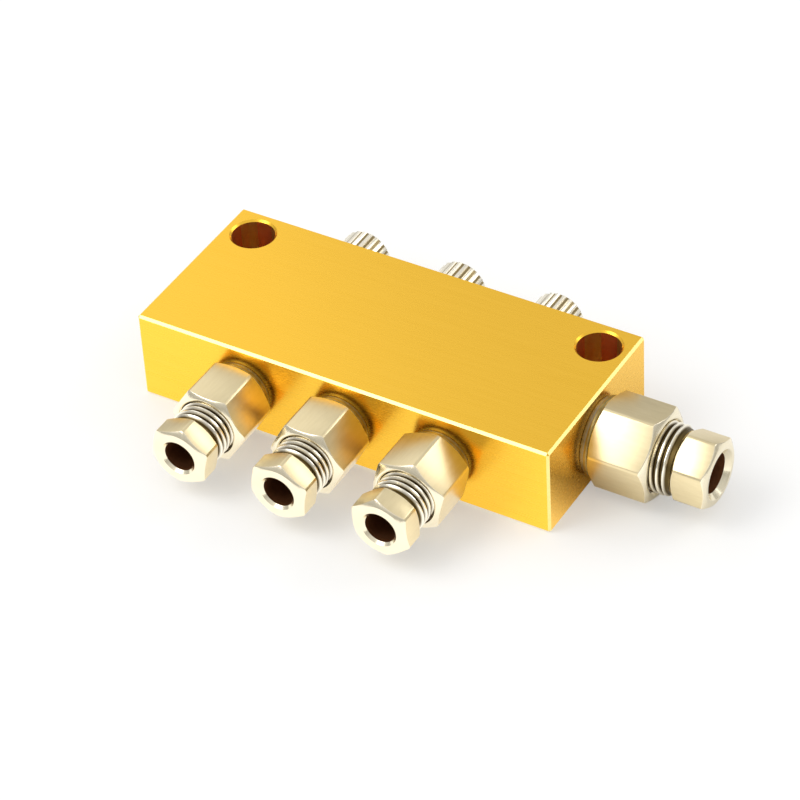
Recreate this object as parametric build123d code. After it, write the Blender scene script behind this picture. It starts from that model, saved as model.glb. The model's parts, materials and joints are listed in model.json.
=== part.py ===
from build123d import *
import os
from collections import namedtuple
from math import cos, pi, radians, sin, sqrt, tan

# Single-line lubricant divider block with metered outlets, in millimetres.
# The origin is the centre of the block's underside. +X runs along the block to the
# inlet, the outlets face -Y, the metering caps face +Y, and +Z is up.

# Block
OUTLET_COUNT = 3
OUTLET_PITCH = 17.0
END_MARGIN = 18.0            # last outlet to the end face
BLOCK_DEPTH = 30.0
BLOCK_HEIGHT = 15.0
EDGE_BREAK = 0.4
MOUNT_HOLE_D = 6.8
MOUNT_HOLE_INSET = 5.0       # centre to the end face and to the rear face
GALLERY_D = 5.0
PORT_CHAMFER = 0.3

# Play
THREAD_PLAY = 0.05           # radial, a male thread in its port
SLIDE_PLAY = 0.04            # radial, a piece that slides in a bore or on a tube
PRESS_PLAY = 0.02            # radial, a piece that is pressed home
SEAT_PLAY = 0.05             # a piece off the seat that stops it
TUBE_PLAY = 0.1              # radial, round the user's tube
PORT_END_GAP = 0.8           # a screwed-in end off the port's floor

# Hexagons, with corners turned off at both ends
HEX_END_ANGLE = 30.0
HEX_END_INSET = 0.45         # end circle inside the flats
HEX_CORNER_TRIM = 0.12

# Outlet fittings, for a 3/16 inch tube
OUTLET_TUBE_D = 4.76
OUTLET_THREAD_D = 8.0
OUTLET_WASHER_T = 0.8
OUTLET_HEX_AF = 11.0
OUTLET_HEX_LENGTH = 9.2
OUTLET_REACH = 6.2           # spigot below the block's face
OUTLET_FLOW_D = 2.4
OUTLET_THREAD_SHOWN = 3.6
OUTLET_THREAD_ENGAGED = 2.5
OUTLET_BUSHING_THREAD_D = 9.0
OUTLET_BUSHING_AF = 9.0
OUTLET_BUSHING_HEX_LENGTH = 4.1
OUTLET_MOUTH_D = 5.8
OUTLET_HEX_TURNS = [-2.0, 2.0, 18.0]
OUTLET_BUSHING_TURNS = [20.0, 23.0, 36.0]

# Inlet fitting, for a 6 mm tube
INLET_TUBE_D = 6.0
INLET_THREAD_D = 10.0
INLET_WASHER_T = 0.8
INLET_HEX_AF = 13.0
INLET_HEX_LENGTH = 10.2
INLET_REACH = 7.2
INLET_FLOW_D = 4.5
INLET_THREAD_SHOWN = 3.0
INLET_THREAD_ENGAGED = 2.5
INLET_BUSHING_THREAD_D = 11.0
INLET_BUSHING_AF = 10.0
INLET_BUSHING_HEX_LENGTH = 5.8
INLET_MOUTH_D = 7.8
INLET_HEX_TURN = -14.0
INLET_BUSHING_TURN = -27.0

FITTING_WASHER_RIM = 0.9     # radial, beyond its thread

# Turned seat under a connector's hexagon
SEAT_COLLAR_T = 0.5
SEAT_COLLAR_INSET = 0.2      # collar inside the flats

# Cutting ring and its cones, in every fitting
OLIVE_WALL = 1.0
OLIVE_EDGE = 0.4             # wall left at its two ends
OLIVE_BAND = 1.6             # full-diameter length
TIGHTEN_ROOM = 1.5           # bushing travel until the ring is pinched
SOCKET_DEPTH = 0.9           # tube beyond the cone

# Check valve in each outlet connector
CHECK_BORE_D = 3.6
CHECK_BALL_D = 3.0
CHECK_SEAT_LENGTH = 1.5
CHECK_SEAT_HOLE_D = 1.6
CHECK_SEAT_CONE = 0.5
CHECK_WEB = 1.1              # between the tube socket and the valve chamber
CHECK_SPRING_WIRE = 0.35
CHECK_SPRING_TURNS = 4
WIRE_SIDES = 6               # the round spring wire is drawn with flats

# Metering cell
CAP_THREAD_D = 7.0
CAP_HEAD_D = 8.2
CAP_HEAD_LENGTH = 6.4
CAP_WASHER_RIM = 0.4         # radial, beyond its thread
CAP_WASHER_T = 0.8
CAP_END_WALL = 3.6
CAP_END_CHAMFER = 0.3
KNURL_RIBS = 22
KNURL_DEPTH = 0.35
SLOT_WIDTH = 1.2
SLOT_DEPTH = 1.0
CYLINDER_D = 5.4
DISC_T = 1.0
DISC_HOLES = 6
DISC_HOLE_D = 0.9
CHAMBER_D = 6.2
SEAT_WALL = 0.9              # between the gallery and the collar's seat
COLLAR_HEIGHT = 2.4
COLLAR_BASE_T = 0.7
COLLAR_BASE_R = 2.1
COLLAR_HUB_WALL = 0.4
COLLAR_LIP_T = 0.3
COLLAR_LIP_HEIGHT = 1.7
COLLAR_TRAVEL = 0.8
CENTRE_TUBE_D = 2.2
CENTRE_TUBE_BORE = 1.2
FEED_D = 3.4                 # ring-shaped way round the centre tube
PISTON_LENGTH = 3.2
PISTON_POCKET_D = 3.6
PISTON_POCKET_DEPTH = 1.0
RING_WIDTH = 0.9
RING_T = 0.9
METER_SPRING_WIRE = 0.4
METER_SPRING_TURNS = 6

# End plug
PLUG_THREAD_D = 10.0
PLUG_LENGTH = 5.0
PLUG_RECESS = 1.2
PLUG_SOCKET_AF = 5.0
PLUG_SOCKET_DEPTH = 3.2
PLUG_CHAMFER = 0.5
PLUG_WASHER_T = 0.8

# Worked out from the sizes above
BLOCK_LENGTH = (OUTLET_COUNT - 1) * OUTLET_PITCH + 2 * END_MARGIN
PORT_HEIGHT = BLOCK_HEIGHT / 2
OUTLET_WASHER_D = OUTLET_THREAD_D + 2 * FITTING_WASHER_RIM
INLET_WASHER_D = INLET_THREAD_D + 2 * FITTING_WASHER_RIM
CAP_WASHER_D = CAP_THREAD_D + 2 * CAP_WASHER_RIM
COLLAR_SEAT_Y = GALLERY_D / 2 + SEAT_WALL
DISC_Y = COLLAR_SEAT_Y + COLLAR_HEIGHT + COLLAR_TRAVEL
CAP_PORT_DEPTH = BLOCK_DEPTH / 2 - DISC_Y
CAP_REACH = CAP_PORT_DEPTH - DISC_T
CAP_TOP = CAP_WASHER_T + CAP_HEAD_LENGTH
CENTRE_TUBE_TOP = COLLAR_SEAT_Y + COLLAR_TRAVEL + COLLAR_HEIGHT / 2 - BLOCK_DEPTH / 2

Fitting = namedtuple(
    "Fitting",
    "tube_d thread_d washer_d washer_t hex_af hex_length reach flow_d"
    " shown engaged bushing_thread_d bushing_af bushing_hex_length mouth_d",
)
OUTLET = Fitting(
    OUTLET_TUBE_D, OUTLET_THREAD_D, OUTLET_WASHER_D, OUTLET_WASHER_T, OUTLET_HEX_AF,
    OUTLET_HEX_LENGTH, OUTLET_REACH, OUTLET_FLOW_D, OUTLET_THREAD_SHOWN,
    OUTLET_THREAD_ENGAGED, OUTLET_BUSHING_THREAD_D, OUTLET_BUSHING_AF,
    OUTLET_BUSHING_HEX_LENGTH, OUTLET_MOUTH_D,
)
INLET = Fitting(
    INLET_TUBE_D, INLET_THREAD_D, INLET_WASHER_D, INLET_WASHER_T, INLET_HEX_AF,
    INLET_HEX_LENGTH, INLET_REACH, INLET_FLOW_D, INLET_THREAD_SHOWN,
    INLET_THREAD_ENGAGED, INLET_BUSHING_THREAD_D, INLET_BUSHING_AF,
    INLET_BUSHING_HEX_LENGTH, INLET_MOUTH_D,
)


def turned(points):
    """Solid turned about Z from a closed outline of (radius, height) points."""
    return revolve(Plane.XZ * make_face(Polyline(*points, close=True)), Axis.Z)


def hexagon_bar(across_flats, low, high, turn):
    """Hexagon bar along Z with its corners turned off at both ends."""
    corner_r = across_flats / sqrt(3)
    end_r = across_flats / 2 - HEX_END_INSET
    side_r = corner_r - HEX_CORNER_TRIM
    rise = (side_r - end_r) * tan(radians(HEX_END_ANGLE))
    outline = RegularPolygon(across_flats / 2, 6, major_radius=False, rotation=turn)
    bar = extrude(Plane.XY.offset(low) * outline, high - low)
    envelope = turned(
        [(0, low), (end_r, low), (side_r, low + rise),
         (side_r, high - rise), (end_r, high), (0, high)]
    )
    return bar & envelope


def coil_spring(mean_r, wire_d, low, high, turns):
    """Compression spring along Z that fills the two heights."""
    rise = high - low - wire_d
    path = Helix(pitch=rise / turns, height=rise, radius=mean_r)
    section = Plane(origin=path @ 0, z_dir=path % 0) * RegularPolygon(wire_d / 2, WIRE_SIDES)
    return Pos(0, 0, low + wire_d / 2) * sweep(section, path=path, is_frenet=True)


def ring(outer_r, inner_r, low, high):
    """Plain ring or washer along Z."""
    return turned([(inner_r, low), (outer_r, low), (outer_r, high), (inner_r, high)])


# Ports, each with +Z out of the block and its origin on the block's face

def outlet_plane(x):
    return Plane(origin=(x, -BLOCK_DEPTH / 2, PORT_HEIGHT), x_dir=(1, 0, 0), z_dir=(0, -1, 0))


def cell_plane(x):
    return Plane(origin=(x, BLOCK_DEPTH / 2, PORT_HEIGHT), x_dir=(-1, 0, 0), z_dir=(0, 1, 0))


INLET_PLANE = Plane(origin=(BLOCK_LENGTH / 2, 0, PORT_HEIGHT), x_dir=(0, 1, 0), z_dir=(1, 0, 0))
PLUG_PLANE = Plane(origin=(-BLOCK_LENGTH / 2, 0, PORT_HEIGHT), x_dir=(0, -1, 0), z_dir=(-1, 0, 0))


def outlet_places():
    """Outlet number and X place, from the plug end to the inlet end."""
    first = -(OUTLET_COUNT - 1) * OUTLET_PITCH / 2
    return [(i + 1, first + i * OUTLET_PITCH) for i in range(OUTLET_COUNT)]


def port_cutter(thread_d, depth, inner_steps):
    """Threaded port with a chamfered mouth, then the given (radius, height) steps."""
    r = thread_d / 2
    points = [(0, 0), (r + PORT_CHAMFER, 0), (r, -PORT_CHAMFER), (r, -depth)]
    points += inner_steps
    points.append((0, inner_steps[-1][1]))
    return turned(points)


# Block

def divider_block():
    block = Box(
        BLOCK_LENGTH, BLOCK_DEPTH, BLOCK_HEIGHT,
        align=(Align.CENTER, Align.CENTER, Align.MIN),
    )
    block = chamfer(block.edges(), EDGE_BREAK)

    hole_r = MOUNT_HOLE_D / 2
    mouth_r = hole_r + PORT_CHAMFER
    hole = turned(
        [(0, 0), (mouth_r, 0), (hole_r, PORT_CHAMFER), (hole_r, BLOCK_HEIGHT - PORT_CHAMFER),
         (mouth_r, BLOCK_HEIGHT), (0, BLOCK_HEIGHT)]
    )
    hole_x = BLOCK_LENGTH / 2 - MOUNT_HOLE_INSET
    hole_y = BLOCK_DEPTH / 2 - MOUNT_HOLE_INSET
    for x in (-hole_x, hole_x):
        block -= Pos(x, hole_y, 0) * hole

    # Gallery from the inlet port to the plug port
    gallery_r = GALLERY_D / 2
    to_middle = -BLOCK_LENGTH / 2
    inlet_depth = INLET_REACH + PORT_END_GAP
    block -= INLET_PLANE * port_cutter(
        INLET_THREAD_D, inlet_depth, [(gallery_r, -inlet_depth), (gallery_r, to_middle)]
    )
    plug_depth = PLUG_RECESS + PLUG_LENGTH + PLUG_WASHER_T
    block -= PLUG_PLANE * port_cutter(
        PLUG_THREAD_D, plug_depth, [(gallery_r, -plug_depth), (gallery_r, to_middle)]
    )

    # Each metering cell crosses the gallery to its outlet
    to_gallery = -BLOCK_DEPTH / 2
    outlet_depth = OUTLET_REACH + PORT_END_GAP
    tube_r = CENTRE_TUBE_D / 2
    outlet_cut = port_cutter(
        OUTLET_THREAD_D, outlet_depth, [(tube_r, -outlet_depth), (tube_r, to_gallery)]
    )
    seat_z = COLLAR_SEAT_Y - BLOCK_DEPTH / 2
    cell_cut = port_cutter(
        CAP_THREAD_D, CAP_PORT_DEPTH,
        [(CHAMBER_D / 2, -CAP_PORT_DEPTH), (CHAMBER_D / 2, seat_z),
         (FEED_D / 2, seat_z), (FEED_D / 2, to_gallery)],
    )
    for _, x in outlet_places():
        block -= outlet_plane(x) * outlet_cut
        block -= cell_plane(x) * cell_cut
    return block


# Fittings, along +Z with the block's face at height 0

def connector_face(f):
    return f.washer_t + f.hex_length


def bushing_end(f):
    return connector_face(f) - f.engaged


def cone_mouth_r(f):
    return f.tube_d / 2 + OLIVE_WALL + TUBE_PLAY


def olive_end_r(f):
    return f.tube_d / 2 + OLIVE_EDGE


def olive_heights(f):
    """Lower and upper end of the cutting ring, seated loosely in the bushing's cone."""
    high = bushing_end(f) + cone_mouth_r(f) - olive_end_r(f) - SEAT_PLAY
    return high - OLIVE_BAND - 2 * (OLIVE_WALL - OLIVE_EDGE), high


def cone_floor(f):
    """Height where the connector's cone meets its tube socket."""
    bore_r = f.tube_d / 2 + TUBE_PLAY
    return olive_heights(f)[0] - TIGHTEN_ROOM - SEAT_PLAY - (olive_end_r(f) - bore_r)


def connector(f, turn, lower_steps):
    """Hexagon connector with the given bore steps below its tube socket."""
    face = connector_face(f)
    screw_r = f.bushing_thread_d / 2
    bore_r = f.tube_d / 2 + TUBE_PLAY
    cone_z = cone_floor(f)
    cone_top = cone_z + cone_mouth_r(f) - bore_r
    stop_z = cone_z - SOCKET_DEPTH
    collar_r = f.hex_af / 2 - SEAT_COLLAR_INSET
    hex_low = f.washer_t + SEAT_COLLAR_T
    body = hexagon_bar(f.hex_af, hex_low, face, turn)
    spigot_r = f.thread_d / 2 - THREAD_PLAY
    body += turned(
        [(0, -f.reach), (spigot_r - PORT_CHAMFER, -f.reach), (spigot_r, PORT_CHAMFER - f.reach),
         (spigot_r, f.washer_t), (collar_r, f.washer_t), (collar_r, hex_low), (0, hex_low)]
    )
    steps = [
        (0, face), (screw_r + PORT_CHAMFER, face), (screw_r, face - PORT_CHAMFER),
        (screw_r, cone_top), (cone_mouth_r(f), cone_top), (bore_r, cone_z),
        (bore_r, stop_z), (f.flow_d / 2, stop_z),
    ]
    steps += lower_steps
    steps.append((0, -f.reach))
    return body - turned(steps)


def outlet_connector(turn):
    check_r = CHECK_BORE_D / 2
    top = check_chamber_top()
    return connector(OUTLET, turn, [(OUTLET.flow_d / 2, top), (check_r, top), (check_r, -OUTLET.reach)])


def inlet_connector():
    return connector(INLET, INLET_HEX_TURN, [(INLET.flow_d / 2, -INLET.reach)])


def fitting_washer(f):
    return ring(f.washer_d / 2, f.thread_d / 2 + THREAD_PLAY, 0, f.washer_t)


def olive(f):
    low, high = olive_heights(f)
    inner_r = f.tube_d / 2 + TUBE_PLAY
    outer_r = f.tube_d / 2 + OLIVE_WALL
    slope = OLIVE_WALL - OLIVE_EDGE
    return turned(
        [(inner_r, low), (olive_end_r(f), low), (outer_r, low + slope),
         (outer_r, high - slope), (olive_end_r(f), high), (inner_r, high)]
    )


def bushing(f, turn):
    """Compression screw: hexagon head, plain shank for the thread, and tube bore."""
    end = bushing_end(f)
    head = connector_face(f) + f.shown
    mouth = head + f.bushing_hex_length
    bore_r = f.tube_d / 2 + TUBE_PLAY
    mouth_r = f.mouth_d / 2
    cone_r = cone_mouth_r(f)
    shank_r = f.bushing_thread_d / 2 - THREAD_PLAY
    body = hexagon_bar(f.bushing_af, head, mouth, turn)
    body += turned(
        [(0, end), (shank_r - PORT_CHAMFER, end), (shank_r, end + PORT_CHAMFER),
         (shank_r, head), (0, head)]
    )
    return body - turned(
        [(0, end), (cone_r, end), (bore_r, end + cone_r - bore_r),
         (bore_r, mouth + bore_r - mouth_r), (mouth_r, mouth), (0, mouth)]
    )


# Check valve, in the outlet's own heights

def check_chamber_top():
    return cone_floor(OUTLET) - SOCKET_DEPTH - CHECK_WEB


def check_ball_z():
    """Ball centre, just off a 45 degree seat."""
    cone_tip = CHECK_SEAT_LENGTH - OUTLET_REACH - CHECK_SEAT_CONE - CHECK_SEAT_HOLE_D / 2
    return cone_tip + CHECK_BALL_D / 2 * sqrt(2) + SEAT_PLAY


def check_seat():
    low = -OUTLET_REACH
    high = low + CHECK_SEAT_LENGTH
    outer_r = CHECK_BORE_D / 2 - PRESS_PLAY
    hole_r = CHECK_SEAT_HOLE_D / 2
    return turned(
        [(hole_r, low), (outer_r, low), (outer_r, high), (hole_r + CHECK_SEAT_CONE, high),
         (hole_r, high - CHECK_SEAT_CONE)]
    )


def check_ball():
    return Pos(0, 0, check_ball_z()) * Sphere(CHECK_BALL_D / 2)


def check_spring():
    ball_r = CHECK_BALL_D / 2
    mean_r = ball_r - CHECK_SPRING_WIRE
    low = check_ball_z() + sqrt(ball_r**2 - (mean_r - CHECK_SPRING_WIRE / 2)**2)
    return coil_spring(
        mean_r, CHECK_SPRING_WIRE, low + SEAT_PLAY, check_chamber_top() - SEAT_PLAY,
        CHECK_SPRING_TURNS,
    )


# Metering cell, along +Z with the block's rear face at height 0

def knurled_bar(low, high):
    """Straight knurl: a flat-topped rib and a flat-bottomed groove for each pitch."""
    crest_r = CAP_HEAD_D / 2
    points = []
    for i in range(4 * KNURL_RIBS):
        angle = pi * i / (2 * KNURL_RIBS)
        r = crest_r if i % 4 < 2 else crest_r - KNURL_DEPTH
        points.append((r * cos(angle), r * sin(angle)))
    bar = extrude(Plane.XY.offset(low) * make_face(Polyline(*points, close=True)), high - low)
    side_r = crest_r + KNURL_DEPTH
    end_r = crest_r - CAP_END_CHAMFER
    rise = side_r - end_r
    return bar & turned(
        [(0, low), (end_r, low), (side_r, low + rise), (side_r, high - rise), (end_r, high), (0, high)]
    )


def metering_cap():
    """Knurled cap whose hollow spigot is the metering cylinder."""
    spigot_r = CAP_THREAD_D / 2 - THREAD_PLAY
    body = knurled_bar(CAP_WASHER_T, CAP_TOP)
    body += turned(
        [(0, -CAP_REACH), (spigot_r - PORT_CHAMFER, -CAP_REACH), (spigot_r, PORT_CHAMFER - CAP_REACH),
         (spigot_r, CAP_WASHER_T), (0, CAP_WASHER_T)]
    )
    body -= turned(
        [(0, -CAP_REACH), (CYLINDER_D / 2, -CAP_REACH),
         (CYLINDER_D / 2, CAP_TOP - CAP_END_WALL), (0, CAP_TOP - CAP_END_WALL)]
    )
    slot = Box(
        CAP_HEAD_D, SLOT_WIDTH, SLOT_DEPTH, align=(Align.CENTER, Align.CENTER, Align.MAX)
    )
    return body - Pos(0, 0, CAP_TOP) * slot


def cap_washer():
    return ring(CAP_WASHER_D / 2, CAP_THREAD_D / 2 + THREAD_PLAY, 0, CAP_WASHER_T)


def piston_front():
    return SEAT_PLAY - CAP_REACH


def metering_piston():
    """Piston with a groove for its ring and a pocket for its spring."""
    low = piston_front()
    high = low + PISTON_LENGTH
    r = CYLINDER_D / 2 - SLIDE_PLAY
    groove_low = low + (PISTON_LENGTH - PISTON_POCKET_DEPTH - RING_WIDTH) / 2
    groove_r = r - RING_T
    return turned(
        [(0, low), (r, low), (r, groove_low), (groove_r, groove_low),
         (groove_r, groove_low + RING_WIDTH), (r, groove_low + RING_WIDTH), (r, high),
         (PISTON_POCKET_D / 2, high), (PISTON_POCKET_D / 2, high - PISTON_POCKET_DEPTH),
         (0, high - PISTON_POCKET_DEPTH)]
    )


def piston_ring():
    low = piston_front() + (PISTON_LENGTH - PISTON_POCKET_DEPTH - RING_WIDTH) / 2
    r = CYLINDER_D / 2 - SLIDE_PLAY
    return ring(r, r - RING_T + PRESS_PLAY, low + PRESS_PLAY, low + RING_WIDTH - PRESS_PLAY)


def metering_spring():
    low = piston_front() + PISTON_LENGTH - PISTON_POCKET_DEPTH + SEAT_PLAY
    high = CAP_TOP - CAP_END_WALL - SEAT_PLAY
    mean_r = PISTON_POCKET_D / 2 - METER_SPRING_WIRE
    return coil_spring(mean_r, METER_SPRING_WIRE, low, high, METER_SPRING_TURNS)


def seat_disc():
    """Perforated disc between the cap and the valve chamber, closed at its middle."""
    low = -CAP_PORT_DEPTH
    disc = Pos(0, 0, low) * Cylinder(
        CAP_THREAD_D / 2 - 2 * THREAD_PLAY, DISC_T, align=(Align.CENTER, Align.CENTER, Align.MIN)
    )
    hub_r = CENTRE_TUBE_D / 2 + SLIDE_PLAY + COLLAR_HUB_WALL
    hole = Cylinder(DISC_HOLE_D / 2, DISC_T, align=(Align.CENTER, Align.CENTER, Align.MIN))
    for place in PolarLocations((hub_r + CYLINDER_D / 2) / 2, DISC_HOLES):
        disc -= Pos(0, 0, low) * place * hole
    return disc


def valve_collar():
    """Rubber collar on the centre tube, with its lip towards the cap."""
    low = COLLAR_SEAT_Y - BLOCK_DEPTH / 2
    inner_r = CENTRE_TUBE_D / 2 + SLIDE_PLAY
    hub_r = inner_r + COLLAR_HUB_WALL
    lip_r = CHAMBER_D / 2 - SLIDE_PLAY
    return turned(
        [(inner_r, low), (COLLAR_BASE_R, low), (lip_r, low + COLLAR_LIP_HEIGHT - COLLAR_LIP_T),
         (lip_r, low + COLLAR_LIP_HEIGHT), (lip_r - COLLAR_LIP_T, low + COLLAR_LIP_HEIGHT),
         (COLLAR_BASE_R - COLLAR_LIP_T, low + COLLAR_BASE_T), (hub_r, low + COLLAR_BASE_T),
         (hub_r, low + COLLAR_HEIGHT), (inner_r, low + COLLAR_HEIGHT)]
    )


def centre_tube():
    """Tube from the collar's chamber across the gallery to the outlet port."""
    low = OUTLET_REACH + PORT_END_GAP - BLOCK_DEPTH
    return ring(CENTRE_TUBE_D / 2 - PRESS_PLAY, CENTRE_TUBE_BORE / 2, low, CENTRE_TUBE_TOP)


# End plug, along +Z with the block's end face at height 0

def end_plug():
    r = PLUG_THREAD_D / 2 - THREAD_PLAY
    high = -PLUG_RECESS
    low = high - PLUG_LENGTH
    body = turned(
        [(0, low), (r - PLUG_CHAMFER, low), (r, low + PLUG_CHAMFER), (r, high - PLUG_CHAMFER),
         (r - PLUG_CHAMFER, high), (0, high)]
    )
    socket = RegularPolygon(PLUG_SOCKET_AF / 2, 6, major_radius=False)
    return body - extrude(Plane.XY.offset(high - PLUG_SOCKET_DEPTH) * socket, PLUG_SOCKET_DEPTH)


def end_plug_washer():
    high = -PLUG_RECESS - PLUG_LENGTH
    return ring(PLUG_THREAD_D / 2 - PLUG_CHAMFER, GALLERY_D / 2, high - PLUG_WASHER_T, high)


# Assembly

parts = {
    "divider_block": divider_block(),
    "end_plug": PLUG_PLANE * end_plug(),
    "end_plug_washer": PLUG_PLANE * end_plug_washer(),
    "inlet_washer": INLET_PLANE * fitting_washer(INLET),
    "inlet_connector": INLET_PLANE * inlet_connector(),
    "inlet_olive": INLET_PLANE * olive(INLET),
    "inlet_bushing": INLET_PLANE * bushing(INLET, INLET_BUSHING_TURN),
}
for number, x in outlet_places():
    out = outlet_plane(x)
    turn = OUTLET_HEX_TURNS[(number - 1) % len(OUTLET_HEX_TURNS)]
    bushing_turn = OUTLET_BUSHING_TURNS[(number - 1) % len(OUTLET_BUSHING_TURNS)]
    parts[f"outlet_washer_{number}"] = out * fitting_washer(OUTLET)
    parts[f"outlet_connector_{number}"] = out * outlet_connector(turn)
    parts[f"check_seat_{number}"] = out * check_seat()
    parts[f"check_ball_{number}"] = out * check_ball()
    parts[f"check_spring_{number}"] = out * check_spring()
    parts[f"outlet_olive_{number}"] = out * olive(OUTLET)
    parts[f"outlet_bushing_{number}"] = out * bushing(OUTLET, bushing_turn)
    cell = cell_plane(x)
    parts[f"cap_washer_{number}"] = cell * cap_washer()
    parts[f"metering_cap_{number}"] = cell * metering_cap()
    parts[f"metering_piston_{number}"] = cell * metering_piston()
    parts[f"piston_ring_{number}"] = cell * piston_ring()
    parts[f"metering_spring_{number}"] = cell * metering_spring()
    parts[f"seat_disc_{number}"] = cell * seat_disc()
    parts[f"valve_collar_{number}"] = cell * valve_collar()
    parts[f"centre_tube_{number}"] = cell * centre_tube()

os.makedirs("parts", exist_ok=True)
for name, shape in parts.items():
    export_step(shape, f"parts/{name}.step")
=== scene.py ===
import json
from collections import namedtuple
from math import atan2, cos, floor, pi, radians, sin, sqrt, tan

import bpy
from mathutils import Matrix, Vector


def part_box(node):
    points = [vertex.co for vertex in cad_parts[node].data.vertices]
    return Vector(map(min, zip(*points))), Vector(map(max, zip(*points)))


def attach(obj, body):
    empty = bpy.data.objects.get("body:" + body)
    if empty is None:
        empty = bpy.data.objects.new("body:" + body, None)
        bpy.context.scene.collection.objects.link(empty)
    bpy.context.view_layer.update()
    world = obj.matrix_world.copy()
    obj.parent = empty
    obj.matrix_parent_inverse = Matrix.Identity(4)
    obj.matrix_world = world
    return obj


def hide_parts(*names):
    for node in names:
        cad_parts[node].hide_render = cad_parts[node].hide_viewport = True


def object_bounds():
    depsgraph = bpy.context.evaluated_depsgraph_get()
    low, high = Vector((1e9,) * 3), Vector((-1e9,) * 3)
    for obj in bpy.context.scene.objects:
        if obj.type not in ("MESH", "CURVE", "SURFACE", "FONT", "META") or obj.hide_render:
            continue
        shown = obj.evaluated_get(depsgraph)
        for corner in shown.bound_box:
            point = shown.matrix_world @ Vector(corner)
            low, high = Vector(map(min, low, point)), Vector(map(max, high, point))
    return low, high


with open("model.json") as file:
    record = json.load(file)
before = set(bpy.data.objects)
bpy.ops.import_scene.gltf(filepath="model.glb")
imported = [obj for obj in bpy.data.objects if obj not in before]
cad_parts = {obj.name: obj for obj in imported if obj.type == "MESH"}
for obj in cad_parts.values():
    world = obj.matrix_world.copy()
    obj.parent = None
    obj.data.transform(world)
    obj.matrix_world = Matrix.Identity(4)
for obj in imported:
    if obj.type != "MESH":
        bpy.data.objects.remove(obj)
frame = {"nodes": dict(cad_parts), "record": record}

cad_low, cad_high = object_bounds()

# Pieces are shaped on the bench in millimetres, along +Z, and then set into their port in metres.
MM = 0.001

# Sizes that every piece shares, in millimetres
ROUND_STEPS = 96             # sides of a turned face
FINE_ROUND_STEPS = 48        # sides of a bore or thread that shows little
EDGE_ROUND = 0.07            # broken edge on a turned or drawn piece
SHARP_ANGLE = radians(28)    # faces that meet at less than this are one smooth face
PAST = 0.01                  # how far a cutter reaches past the face that it opens
MERGE = 0.0005               # points closer than this are one
CORNER_SEGMENTS = 3          # steps across a rounded corner

# Block, with its mounting holes, gallery and the steps of a metering cell's port
BLOCK_EDGE_BREAK = 0.36
MOUNT_HOLE_D = 6.8
MOUNT_HOLE_INSET = 5.0
HOLE_CHAMFER = 0.3
GALLERY_D = 5.0
PORT_END_GAP = 0.8
CELL_PORT_DEPTH = 8.4        # rear face to the seat disc's shoulder
CELL_CHAMBER_D = 6.2
CELL_CHAMBER_FLOOR = 11.6    # rear face to the collar's seat
CELL_FEED_D = 3.4            # ring-shaped way round the centre tube
CENTRE_TUBE_D = 2.2
OUTLET_CUT_TURN = 1.3        # with the next one, keeps the faces of two bores from meeting in line
CELL_CUT_TURN = 0.7

# Washers
WASHER_ROUND = 0.15

# Hexagon bar
HEX_CORNER_ROUND = 0.22
HEX_END_ANGLE = 30.0
HEX_END_INSET = 0.45
HEX_CORNER_TRIM = 0.12

# Turned seat under a connector's hexagon
SEAT_COLLAR_T = 0.5
SEAT_COLLAR_INSET = 0.2

# Threads, all of one pitch
THREAD_PITCH = 1.0
THREAD_ROOT_FLAT = 0.2
THREAD_CREST_FLAT = 0.2
THREAD_DEPTH = 0.54
THREAD_PLAY = 0.05
THREAD_LEAD = 0.5            # chamfer at a thread's free end
THREAD_RELIEF = 0.4          # neck between a thread and its hexagon
THREAD_SPARE_TURNS = 2       # turned past each end and cut off there

# Inside a fitting
TUBE_PLAY = 0.1
OLIVE_WALL = 1.0
OLIVE_EDGE = 0.4
SOCKET_DEPTH = 0.9
TIGHTEN_ROOM = 1.5
SEAT_PLAY = 0.05
CHECK_BORE_D = 3.6
CHECK_WEB = 1.1

# Metering cap
CAP_HEAD_D = 8.2
CAP_THREAD_D = 7.0
CAP_CYLINDER_D = 5.4
CAP_END_WALL = 3.6
CAP_END_CHAMFER = 0.3
KNURL_RIBS = 22
KNURL_DEPTH = 0.35
KNURL_ROUND = 0.05
SLOT_WIDTH = 1.2
SLOT_DEPTH = 1.0

# End plug
PLUG_THREAD_D = 10.0
PLUG_SOCKET_AF = 5.0
PLUG_SOCKET_DEPTH = 3.2
PLUG_SOCKET_LEAD = 0.25

# Which faces a finish covers
SIDE_SLOPE = 0.05            # a face that runs along Z has a normal that rises less than this
END_SLOPE = 0.9              # an end face's normal rises more than this
SKIN = 0.1                   # a face this far inside the nominal size still belongs to it
EDGE_SLANT = (0.4, 0.8)      # middle part of the normal of a broken edge
LEAST_EDGE_AREA = 1.0

# Camera at the photograph's viewpoint, closer in, in metres
VIEW_FROM = Vector((224.0, -351.3, 350.2)) * MM
VIEW_AT = Vector((5.0, -6.0, 7.0)) * MM
VIEW_ROLL = radians(-3.45)
VIEW_LENS = 162.0
VIEW_CLIP = 0.01

# Studio, in metres but for the grain
WHITE = (1.0, 1.0, 1.0, 1.0)
LAMP_DISTANCE = 0.7
HORIZON = (0.40, 0.39, 0.37, 1.0)
SKY_LEVELS = ((0.28, 0.60), (0.60, 0.77), (1.0, 0.86))   # how high the ray goes, and what it meets
TABLE_SIZE = 4.0
TABLE_GRAIN = 25.0           # millimetres across the table's faint mottle
TABLE_GLOW = 0.35            # share of the table's white that its shadow leaves
PAINTED_PATCH_GLOW = 0.5              # the same for a patch of the table in front of the block that glows as painted light, seen only in reflections
PAINTED_PATCH_LIGHT = 1.6             # how bright that painted glow patch looks in reflections, where the table's white is 1

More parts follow.
